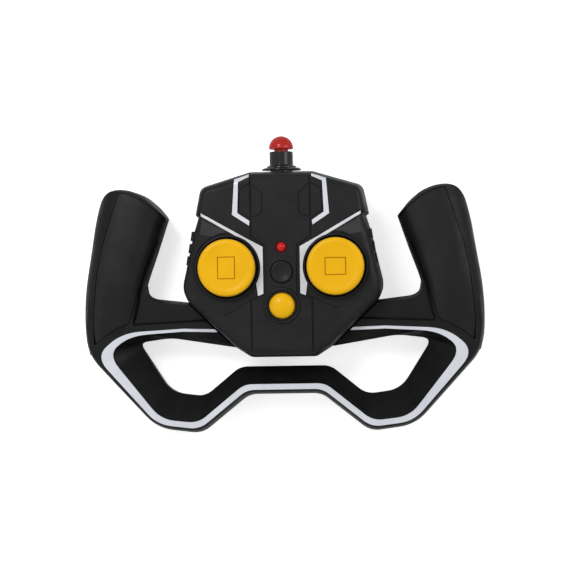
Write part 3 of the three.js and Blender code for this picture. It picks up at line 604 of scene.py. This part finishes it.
def grip_solid(name, side, shrink=0.0, lower=0.0):
    """One grip, smaller all over by shrink and dropped by lower on its front."""
    rings = []
    for y, inner, outer, rear, front in smooth_sections(GRIP_SECTIONS):
        x_mid = HALF_WIDTH - (inner + outer) / 2
        x_half = max((inner - outer) / 2 - shrink, 0.4)
        low = rear + shrink
        high = front - shrink - lower
        ring = []
        for i in range(SECTION_POINTS):
            angle = math.tau * i / SECTION_POINTS
            c, s = math.cos(angle), math.sin(angle)
            across = math.copysign(abs(c) ** GRIP_ROUNDNESS, c) * x_half
            up = math.copysign(abs(s) ** GRIP_ROUNDNESS, s) * (high - low) / 2
            ring.append(Vector((side * (x_mid + across), y, (low + high) / 2 + up)))
        rings.append(ring)
    end = tapered("end", sided(inset(GRIP_END, shrink), side), [
        (-2, 3), (GRIP_REAR + 1, 1.6), (GRIP_REAR + 2, 1.1), (GRIP_REAR + 3.4, 0.4), (GRIP_REAR + 5, 0),
        (GRIP_FRONT - 6 - lower, 0), (GRIP_FRONT - 3.6 - lower, 0.25), (GRIP_FRONT - 2.4 - lower, 0.6),
        (GRIP_FRONT - 1.4 - lower, 1.15), (GRIP_FRONT - 0.6 - lower, 1.9), (GRIP_FRONT + 5, 2.2),
    ])
    return keep(loft(name, rings), end)


def above(z):
    return block("above", 0, 0, 400, 400, z, 100)


def below(z):
    return block("below", 0, 0, 400, 400, -20, z)


def window_front(grow):
    edge, ridge = inset(WINDOW, -grow), inset(RIDGE, -grow)
    return loft("window", [
        flat_ring(edge, 0), flat_ring(edge, PARTING_Z + 1), flat_ring(ridge, RIM_FRONT + 0.1), flat_ring(ridge, 40),
    ])


def panel_prism(side, grow):
    return prism("panel", sided(inset(GRIP_PANEL, -grow), side), PARTING_Z + 4, 60)


def stripe_band(grow):
    outer = prism("band", inset(STRIPE, -grow), RIM_FRONT - STRIPE_THICK - grow, RIM_FRONT + 2)
    return cut(outer, prism("inner", inset(RIDGE, -STRIPE_LAND + grow), 0, 60))


def pod_keep_out():
    return prism("pod_room", inset(POD, -GAP), PARTING_Z - 5, 80)


def spoke_pocket(side):
    """What is taken off the spoke between the stripe and the top edge, so that the grip stands above it."""
    outline = [(38, -18.4), (60, -19.3), (75.6, -20, 2), (74, -12), (70, 6), (38, 6)]
    return tapered("pocket", sided(outline, side), [(24.4, 1.6), (24.8, 1.1), (26, 0.5), (30, 0)])


def wheel_front():
    rim = tapered("wheel_front", RIM, [
        (PARTING_Z, 0), (19, 0.35), (22, 0.8), (24.2, 1.15), (25.4, 1.5), (26.3, 1.95), (26.8, 2.3), (RIM_FRONT, 2.7),
    ])
    for side in (1, -1):
        add(rim, keep(grip_solid("grip", side), above(PARTING_Z)))
    hollow = tapered("hollow", inset(RIM, WALL), [(PARTING_Z - 1, 0), (22, 0.8), (RIM_FRONT - WALL - 1.4, 1.5)])
    cut(hollow, window_front(WALL))
    cut(rim, hollow, window_front(0))
    for side in (1, -1):
        cut(rim, keep(grip_solid("room", side, WALL, PANEL_THICK + GAP), above(PARTING_Z - 1)))
        cut(rim, cut(panel_prism(side, GAP), grip_solid("core", side, 0, PANEL_THICK + GAP)))
        cut(rim, cut(spoke_pocket(side), grip_solid("grip", side)))
    return cut(rim, stripe_band(GAP), pod_keep_out())


def grip_panel(side):
    panel = keep(grip_solid("grip_panel", side), panel_prism(side, 0))
    return cut(panel, grip_solid("core", side, 0, PANEL_THICK))


def wheel_stripe():
    return cut(keep(stripe_band(0), below(RIM_FRONT + 0.15)), pod_keep_out())


settle(wheel_front(), "housing", shell_black, ["wheel_front_shell"])
for side, word in ((-1, "left"), (1, "right")):
    panel = grip_panel(side)
    panel.name = f"{word}_grip_inlay"
    settle(panel, "housing", grain_black, [f"{word}_grip_panel"])
stripe = wheel_stripe()
stripe.name = "silver_stripe"
settle(stripe, "housing", silver, ["wheel_stripe"])

# ---- Control pod ---------------------------------------------------------------------------------


def pod_skin(name, drop=0.0):
    return tapered(name, POD, [
        (PARTING_Z, 0), (24 - drop, 0.5), (30 - drop, 0.8), (34 - drop, 1.2), (37 - drop, 1.7), (38.6 - drop, 2.2),
        (39.5 - drop, 2.9), (40.05 - drop, 3.7), (POD_FRONT - drop, 5),
    ])


def line_groove(points, wide, deep, closed=False):
    """Cutters for a thin groove along a chain of points on the pod's face."""
    tools = []
    pairs = list(zip(points, points[1:] + points[:1] if closed else points[1:]))
    for a, b in pairs:
        a, b = Vector(a), Vector(b)
        way = (b - a).normalized()
        aside = Vector((-way.y, way.x)) * wide / 2
        a, b = a - way * wide / 2, b + way * wide / 2
        corners = [a - aside, b - aside, b + aside, a + aside]
        tools.append(prism("line", [tuple(c) for c in corners], POD_FRONT - deep, POD_FRONT + 3))
    return tools


def thumb_rib(y, side):
    x = POD_HALF - 1.4 - (y + 1.5) * 0.19
    outline = [(x - 3, y - 2.2), (x + 0.9, y - 2.2, 0.4), (x + 0.2, y + 2.4), (x - 3, y + 2.4)]
    return tapered("rib", sided(outline, side), [(20, 0), (32, 0), (33, 0.3)])


def well_guard(grow):
    return [disc("guard", x, STICK_Y, WELL_RADIUS + WELL_WALL + grow, 0, 64) for x in (STICK_X, -STICK_X)]


def aerial_seat():
    return along_y("seat", [
        (0, AERIAL_SEAT_Y - 3), (FLANGE_RADIUS - 1, AERIAL_SEAT_Y - 3), (FLANGE_RADIUS - 1, AERIAL_SEAT_Y - GAP),
        (NECK_RADIUS + GAP, AERIAL_SEAT_Y), (NECK_RADIUS + GAP, POD_TOP + 5), (0, POD_TOP + 5),
    ])


def pod_cover():
    cover = pod_skin("pod_face")
    for side in (1, -1):
        x = side * STICK_X
        add(cover, turned("tower", [
            (0, 30), (WELL_RADIUS + WELL_WALL + 0.5, 30), (WELL_RADIUS + WELL_WALL + 0.5, POD_FRONT - 0.4),
            (WELL_RADIUS + WELL_WALL, WELL_RIM, 0.5), (0, WELL_RIM),
        ], x, STICK_Y))
        add(cover, *[thumb_rib(y, side) for y in (24, 18, 12)])
        cut(cover, prism("groove", sided(GROOVE, side), POD_FRONT - GROOVE_DEEP, 60))
    hollow = tapered("hollow", inset(POD, WALL), [(PARTING_Z - 1, 0), (30, 1), (COVER_CEILING, 3)])
    cut(cover, hollow)
    add(cover, turned("bezel", [
        (0, COVER_CEILING - 0.2), (9.1, COVER_CEILING - 0.2), (9.1, POD_FRONT - 0.3), (8.6, POD_FRONT + 0.9, 0.4),
        (7.7, POD_FRONT + 0.9, 0.3), (7.2, POD_FRONT + 0.2), (0, POD_FRONT + 0.2),
    ], 0, FIRE_Y))
    for side in (1, -1):
        x = side * STICK_X
        cut(cover, turned("well", [
            (0, WELL_FLOOR), (WELL_RADIUS - 0.5, WELL_FLOOR, 0.4), (WELL_RADIUS, WELL_FLOOR + 0.6),
            (WELL_RADIUS, WELL_RIM - 0.3), (WELL_RADIUS + 0.3, 60), (0, 60),
        ], x, STICK_Y))
        cut(cover, disc("mouth", x, STICK_Y, 2.2 * POST_RADIUS, 30, 60))
        for outline in (SHOULDER_TRIM, FLANK_TRIM):
            rebate = prism("rebate", sided(inset(outline, -GAP), side), 25, 60)
            cut(rebate, pod_skin("skin", TRIM_THICK + GAP))
            cut(cover, cut(rebate, *well_guard(-WELL_SHAVE)))
        moat = disc("moat", x, STICK_Y, WELL_RADIUS + WELL_WALL + 1, POD_FRONT - 0.9, 60)
        cut(cover, cut(moat, *well_guard(-WELL_SHAVE)))
        # A shallow seat for the thin sheet that carries the painted reflection.
        cut(cover, prism("reflection_patch_seat", sided(inset(FLANK_REFLECTION_PATCH, -0.15), side), POD_FRONT - 0.45, 60))
        hexagon = [(side * hx, hy) for hx, hy in HEXAGON]
        cut(cover, *line_groove(hexagon, 0.7, 0.72, closed=True))
    cut(cover, *line_groove([(-28, -15), (-15.7, -8)], 0.6, 0.62))
    cut(cover, *line_groove([(12.5, -5.3), (26.6, -12), (28.5, -11)], 0.6, 0.62))
    cut(
        cover,
        disc("fire_hole", 0, FIRE_Y, FIRE_RADIUS + SLIP, 30, 60),
        disc("power_hole", 0, POWER_Y, POWER_RADIUS + SLIP, 30, 60),
        disc("lamp_hole", 0, LAMP_Y, LAMP_RADIUS + GAP, 30, 60),
        aerial_seat(),
    )
    return cover


def pod_trim(outline, side):
    trim = cut(pod_skin("trim"), pod_skin("skin", TRIM_THICK))
    keep(trim, prism("outline", sided(outline, side), 25, 60))
    return cut(trim, *well_guard(GAP))


settle(pod_cover(), "housing", face_black, ["pod_cover"], POD_SMOOTH_ANGLE)
for side, word in ((-1, "left"), (1, "right")):
    for kind, outline in (("shoulder", SHOULDER_TRIM), ("flank", FLANK_TRIM)):
        trim = pod_trim(outline, side)
        trim.name = f"{word}_{kind}_strip"
        settle(trim, "housing", silver, [f"{word}_{kind}_trim"])

# Thin light grey sheets on the flank facets: a painted reflection of the light on the glossy black facets.
for side, word in ((-1, "left"), (1, "right")):
    gloss = prism(f"{word}_flank_painted_reflection", sided(FLANK_REFLECTION_PATCH, side), POD_FRONT - 0.4, POD_FRONT - 0.1)
    settle(gloss, "housing", painted_reflection_grey)

# ---- Sticks, buttons, lamp and aerial ------------------------------------------------------------


def stick_cap(name, x, wide, tall):
    base = CAP_TOP - CAP_THICK
    cap = turned(name, [
        (0, base + 3.4), (POST_RADIUS + GAP, base + 3.4), (POST_RADIUS + GAP, base), (CAP_RADIUS - 1, base),
        (CAP_RADIUS, base + 1, 0.6), (CAP_RADIUS, CAP_TOP - 1.3, 0.9), (CAP_RADIUS - 0.9, CAP_TOP - 0.15, 0.9),
        (CAP_RADIUS - 2.4, CAP_TOP, 1.0), (CAP_RADIUS - 3.8, CAP_TOP - 0.3, 1.2),
        (CAP_RADIUS - 6.8, CAP_TOP - 0.45, 2.5),
        (0, CAP_TOP - 0.5),
    ], x, STICK_Y, 96)
    frame_groove = cut(
        block("frame", x, STICK_Y, wide + 0.45, tall + 0.45, CAP_TOP - 1.6, CAP_TOP + 2),
        block("plug", x, STICK_Y, wide - 0.35, tall - 0.35, CAP_TOP - 3, CAP_TOP + 4),
    )
    return cut(cap, frame_groove)


settle(stick_cap("left_thumb_cap", -STICK_X, 8.1, 10.4), "left_stick", yellow, ["left_stick_cap"])
settle(stick_cap("right_thumb_cap", STICK_X, 9.8, 8.1), "right_stick", yellow, ["right_stick_cap"])


def button(name, y, radius, crown):
    return turned(name, [
        (0, 28), (2.2, 28), (2.2, COVER_CEILING - 2.6), (radius + 1.2, COVER_CEILING - 2.6),
        (radius + 1.2, COVER_CEILING - GAP), (radius, COVER_CEILING - GAP), *crown,
    ], 0, y, 96)


fire = button("fire_key", FIRE_Y, FIRE_RADIUS, [
    (FIRE_RADIUS, POD_FRONT + 1.4, 0.8), (FIRE_RADIUS - 0.6, POD_FRONT + 2.5, 0.8),
    (FIRE_RADIUS - 1.9, POD_FRONT + 3.35, 1.2), (FIRE_RADIUS - 3.9, POD_FRONT + 3.95, 1.5), (0, POD_FRONT + 4.1),
])
settle(fire, "fire_button", yellow, ["fire_button"])
power = button("power_key", POWER_Y, POWER_RADIUS, [
    (POWER_RADIUS, POD_FRONT + 0.6, 0.3), (POWER_RADIUS - 0.7, POD_FRONT + 0.9, 0.4),
    (POWER_RADIUS - 2.4, POD_FRONT + 0.3, 1.0), (0, POD_FRONT),
])
settle(power, "power_button", face_black, ["power_button"])

lens = turned("lamp_lens", [
    (0, COVER_CEILING - 1.6), (LAMP_RADIUS + 0.4, COVER_CEILING - 1.6), (LAMP_RADIUS + 0.4, COVER_CEILING - 0.5),
    (LAMP_RADIUS, COVER_CEILING - 0.5), (LAMP_RADIUS, POD_FRONT + 0.2, 0.6),
    (LAMP_RADIUS * 0.8, POD_FRONT + 1.5, 0.7),
    (LAMP_RADIUS * 0.45, POD_FRONT + 2.2, 0.6), (0, POD_FRONT + 2.4),
], 0, LAMP_Y, 64)
settle(lens, "housing", lamp_red, ["status_lamp"])

mount = along_y("aerial_collar", [
    (1.1, AERIAL_SEAT_Y - 2.4), (FLANGE_RADIUS - 2, AERIAL_SEAT_Y - 2.4), (FLANGE_RADIUS - 2, AERIAL_SEAT_Y - 0.6),
    (NECK_RADIUS, AERIAL_SEAT_Y - 0.6), (NECK_RADIUS, POD_TOP + GAP), (FLANGE_RADIUS, POD_TOP + GAP, 0.2),
    (FLANGE_RADIUS, POD_TOP + 0.9, 0.3), (FLANGE_RADIUS - 0.9, POD_TOP + 1.4, 0.3), (7.3, POD_TOP + 1.6, 0.1),
    (7.3, POD_TOP + 2.2, 0.3), (COLLAR_RADIUS, POD_TOP + 2.9, 0.3), (COLLAR_RADIUS, COLLAR_TOP, 0.3),
    (COLLAR_RADIUS - 1.7, COLLAR_TOP, 0.2), (COLLAR_RADIUS - 1.7, COLLAR_TOP - 5.5), (1.1, COLLAR_TOP - 5.5),
    (1.1, AERIAL_SEAT_Y - 2.4),
])
settle(mount, "housing", gloss_black, ["aerial_mount"])
NECK, BRIM, DOME_FOOT = COLLAR_RADIUS - 2.3, COLLAR_RADIUS + 0.2, COLLAR_TOP + 2
dome = [
    (BRIM * math.cos(math.radians(d)), DOME_FOOT + (AERIAL_TOP - DOME_FOOT) * math.sin(math.radians(d)))
    for d in range(0, 90, 6)
]
tip = along_y("aerial_knob", [
    (0, COLLAR_TOP - 5), (NECK, COLLAR_TOP - 5), (NECK, COLLAR_TOP + 1.6), (BRIM - 0.7, COLLAR_TOP + 1.6),
    (BRIM - 0.2, COLLAR_TOP + 1.3, 0.1), (BRIM, COLLAR_TOP + 1.5, 0.1), *dome, (0, AERIAL_TOP),
])
settle(tip, "housing", red_clear, ["aerial_tip"])

# ---- Back, battery door and screws ---------------------------------------------------------------


def door_prism(grow, low, high):
    corners = [
        (-DOOR_HALF_X, DOOR_BOTTOM_Y, 2), (DOOR_HALF_X, DOOR_BOTTOM_Y, 2), (DOOR_HALF_X, DOOR_TOP_Y),
        (-DOOR_HALF_X, DOOR_TOP_Y),
    ]
    return prism("door", inset(corners, -grow), low, high)


KNUCKLES = (-(DOOR_HALF_X - 6), DOOR_HALF_X - 6)
ALL_SCREWS = [(side * x, y) for x, y in SCREW_PLACES for side in (1, -1)]


def rear_shell():
    shell = tapered("rear_case", RIM, [
        (RIM_REAR, 4.4), (3.5, 3.5), (4.4, 2.4), (6, 1.5), (8, 0.8), (11, 0.3), (PARTING_Z - GAP, 0),
    ])
    for side in (1, -1):
        add(shell, keep(grip_solid("grip", side), below(PARTING_Z - GAP)))
    cut(shell, tapered("hole", WINDOW, [(-1, -1.6), (RIM_REAR, -1.6), (4.4, -1), (6, -0.5), (PARTING_Z + 1, 0)]))
    add(shell, tapered("pod_back", POD, [
        (0, 3.6), (0.5, 2.8), (1.2, 2.2), (3, 1.5), (5, 1.1), (10, 0.4), (PARTING_Z - GAP, 0),
    ]))
    solid = copied(shell, "solid")
    hole_wall = tapered("hole_wall", inset(WINDOW, -WALL), [(-1, -1.6), (6, -0.5), (PARTING_Z + 2, 0)])
    cut(shell, cut(tapered("rim_room", inset(RIM, WALL), [(5, 3.4), (8, 0.8), (PARTING_Z + 1, 0)]), hole_wall))
    for side in (1, -1):
        cut(shell, keep(grip_solid("grip_room", side, WALL), below(PARTING_Z + 1)))
    cut(shell, tapered("pod_room", inset(POD, WALL), [(WALL, 2.4), (5, 1.1), (PARTING_Z + 1, 0)]))
    wide, tall = 2 * (BAY_HALF_X + BAY_WALL), 2 * (BAY_HALF_Y + BAY_WALL)
    add(
        shell,
        keep(door_prism(1.6, 0, DOOR_THICK + GAP + 1.5), copied(solid, "trim")),
        block("bay", 0, BAY_Y, wide, tall, 0, BAY_TOP + BAY_WALL),
        block("door_seat", 0, DOOR_SCREW_Y, 11, 10, 0, 8.5),
    )
    for x, y in ALL_SCREWS:
        add(shell, keep(disc("boss", x, y, SCREW_HEAD + 1.1, 0, PARTING_Z - GAP, 32), copied(solid, "trim")))
        cut(shell, turned("drill", [
            (0, -1), (SCREW_HEAD + GAP + 0.2, -1), (SCREW_HEAD + GAP + 0.2, HEAD_SEAT), (1.6, HEAD_SEAT),
            (1.6, PARTING_Z + 1), (0, PARTING_Z + 1),
        ], x, y, 48))
    bpy.data.objects.remove(solid)
    cut(
        shell,
        block("bay_room", 0, BAY_Y, 2 * BAY_HALF_X, 2 * BAY_HALF_Y, -1, BAY_TOP),
        door_prism(GAP, -1, DOOR_THICK + GAP),
        disc("door_drill", 0, DOOR_SCREW_Y, 2.3, -1, 7, 32),
        disc("door_pocket", 0, DOOR_SCREW_Y, SCREW_HEAD + 1.5, -1, 3.7, 48),
        aerial_seat(),
    )
    for x in KNUCKLES:
        cut(shell, block("knuckle", x, HINGE_Y + 0.6, 9, 5, -1, DOOR_THICK + 2.4))
        cut(shell, bar_x("socket", x, 6.4, HINGE_Y, GAP + HINGE_RADIUS, 1))
    for end in (1, -1):
        cut(shell, bar_x("lead_hole", end * (BAY_HALF_X + 2), 3, BAY_Y + end * 7.6, 13, 1.1))
    return shell


def battery_door():
    door = cut(door_prism(0, 0.3, DOOR_THICK), block("clear", 0, HINGE_Y + 5.3, 300, 10, -1, 5))
    soften(door, 0.25)
    for ridge in range(5):
        add(door, prism("ridge", rectangle(0, DOOR_BOTTOM_Y + 10.5 + 1.6 * ridge, 22 - 2 * ridge, 0.7), 0.12, 0.8))
    add(door, disc("screw_boss", 0, DOOR_SCREW_Y, SCREW_HEAD + 1.2, 0.35, 3.4, 48))
    for side in (1, -1):
        lip_x, lip_length = side * (BAY_HALF_X - 1.2), 2 * BAY_HALF_Y - 6
        add(door, block("lip", lip_x, BAY_Y, 1.2, lip_length, DOOR_THICK - 0.2, DOOR_THICK + 1.6))
    for x in KNUCKLES:
        add(
            door,
            block("arm", x, HINGE_Y - 1, 8.3, 2.6, 0.35, DOOR_THICK - 0.05),
            bar_x("ear", x, 4.15, HINGE_Y, GAP + HINGE_RADIUS, HINGE_RADIUS),
            bar_x("pin", x, 6.1, HINGE_Y, GAP + HINGE_RADIUS, 0.7),
        )
    return cut(
        door,
        disc("sink", 0, DOOR_SCREW_Y, SCREW_HEAD + GAP, -1, 2.1, 48),
        disc("hole", 0, DOOR_SCREW_Y, 1.6, -1, 5, 32),
    )


def screw(name, x, y, z, top):
    shape = turned(name, [
        (0, z), (1.9, z), (SCREW_HEAD, z + 0.5, 0.4), (SCREW_HEAD, z + 1.5), (1.3, z + 1.5), (1.3, top - 1), (0, top),
    ], x, y, 40)
    return cut(
        shape,
        block("slot", x, y, 3.2, 0.7, z - 1, z + 0.8),
        block("slot", x, y, 0.7, 3.2, z - 1, z + 0.8),
    )


settle(rear_shell(), "housing", shell_black, ["rear_shell"])
hatch = battery_door()
hatch.name = "battery_hatch"
settle(hatch, "battery_door", shell_black, ["battery_door"])
settle(screw("hatch_screw", 0, DOOR_SCREW_Y, 0.35, 6.2), "battery_door", steel, ["door_screw"])
for n, (x, y) in enumerate(ALL_SCREWS, 1):
    fastener = screw(f"case_screw_{n}", x, y, HEAD_SEAT - 1.5 - GAP, 22.5)
    settle(fastener, "housing", steel, [f"shell_screw_{n}"])

# ---- Parts that keep their own shape -------------------------------------------------------------

KEPT = {
    shell_black: ["left_stick_post", "right_stick_post"],
    steel: [
        "left_stick_axle", "right_stick_axle", "crystal", "contact_plus", "contact_minus", "contact_bridge",
        "contact_spring_1", "contact_spring_2",
    ],
    nylon: ["left_stick_bracket", "right_stick_bracket"],
    silicone: [n for n in frame["nodes"] if "dome" in n],
    board_green: ["circuit_board"],
    cell_sleeve: ["battery_1", "battery_2", "capacitor"],
    chip_black: ["control_chip", "battery_lead_black"],
    lead_red: ["battery_lead_red"],
    copper: ["aerial_wire"],
}
for material, names in KEPT.items():
    for name in names:
        mesh = frame["nodes"][name].data
        mesh.materials.clear()
        mesh.materials.append(material)

# ---- Floor, light and camera ---------------------------------------------------------------------

put_down()
bpy.ops.mesh.primitive_plane_add(size=6, location=(0, 0, 0))
floor = bpy.context.object
floor.name = "floor"
paper, tree, shader = finish_base("paper", (0.86, 0.86, 0.86), 0.9, Specular_IOR_Level=0.1)
rays = tree.nodes.new("ShaderNodeLightPath")
glow = tree.nodes.new("ShaderNodeMath")
glow.operation = "MULTIPLY"
glow.inputs[1].default_value = 0.66
tree.links.new(rays.outputs["Is Camera Ray"], glow.inputs[0])
shader.inputs["Emission Color"].default_value = (1, 1, 1, 1)
tree.links.new(glow.outputs[0], shader.inputs["Emission Strength"])
floor.data.materials.append(paper)

world = bpy.data.worlds.new("studio")
bpy.context.scene.world = world
world.use_nodes = True
sky = world.node_tree
backdrop = sky.nodes["Background"]
backdrop.inputs["Color"].default_value = (1, 1, 1, 1)
rays = sky.nodes.new("ShaderNodeLightPath")
seen = sky.nodes.new("ShaderNodeMath")
seen.operation = "MAXIMUM"
sky.links.new(rays.outputs["Is Camera Ray"], seen.inputs[0])
sky.links.new(rays.outputs["Is Glossy Ray"], seen.inputs[1])
clear = sky.nodes.new("ShaderNodeMath")
clear.operation = "MAXIMUM"
sky.links.new(seen.outputs[0], clear.inputs[0])
sky.links.new(rays.outputs["Is Transmission Ray"], clear.inputs[1])
level = sky.nodes.new("ShaderNodeMapRange")
level.inputs["To Min"].default_value = 0.45
level.inputs["To Max"].default_value = 1.0
sky.links.new(clear.outputs[0], level.inputs["Value"])
sky.links.new(level.outputs["Result"], backdrop.inputs["Strength"])


def softbox(name, place, aim, size, power):
    put_down()
    bpy.ops.object.light_add(type="AREA", location=place)
    lamp = bpy.context.object
    lamp.name = name
    lamp.data.shape = "RECTANGLE"
    lamp.data.size, lamp.data.size_y = size
    lamp.data.energy = power
    lamp.rotation_mode = "QUATERNION"
    lamp.rotation_quaternion = (Vector(place) - Vector(aim)).to_track_quat("Z", "Y")


softbox("key", (-0.32, 0.42, 0.9), (0, 0, 0), (0.34, 0.34), 4.2)
softbox("side", (0.75, 0.25, 0.6), (0, 0, 0), (0.3, 0.6), 2.2)
softbox("fill", (-0.75, -0.3, 0.8), (0, 0, 0), (0.6, 0.6), 1.2)

CAMERA_PLACE = Vector((37.065, 8.557, 900)) * MM
CAMERA_AIM = Vector((0.750, -0.419, 20)) * MM
CAMERA_ROLL = -0.01772
CAMERA_LENS = 111.97
CAMERA_SENSOR = 36
put_down()
bpy.ops.object.camera_add(location=CAMERA_PLACE)
camera = bpy.context.object
camera.data.sensor_width = CAMERA_SENSOR
camera.data.lens = CAMERA_LENS
back = (CAMERA_PLACE - CAMERA_AIM).normalized()
across = Vector((0, 1, 0)).cross(back).normalized()
up = back.cross(across)
right = across * math.cos(CAMERA_ROLL) + up * math.sin(CAMERA_ROLL)
top = up * math.cos(CAMERA_ROLL) - across * math.sin(CAMERA_ROLL)
camera.rotation_mode = "QUATERNION"
camera.rotation_quaternion = Matrix((right, top, back)).transposed().to_quaternion()
bpy.context.scene.camera = camera
bpy.context.scene.view_settings.view_transform = "Standard"

put_down()
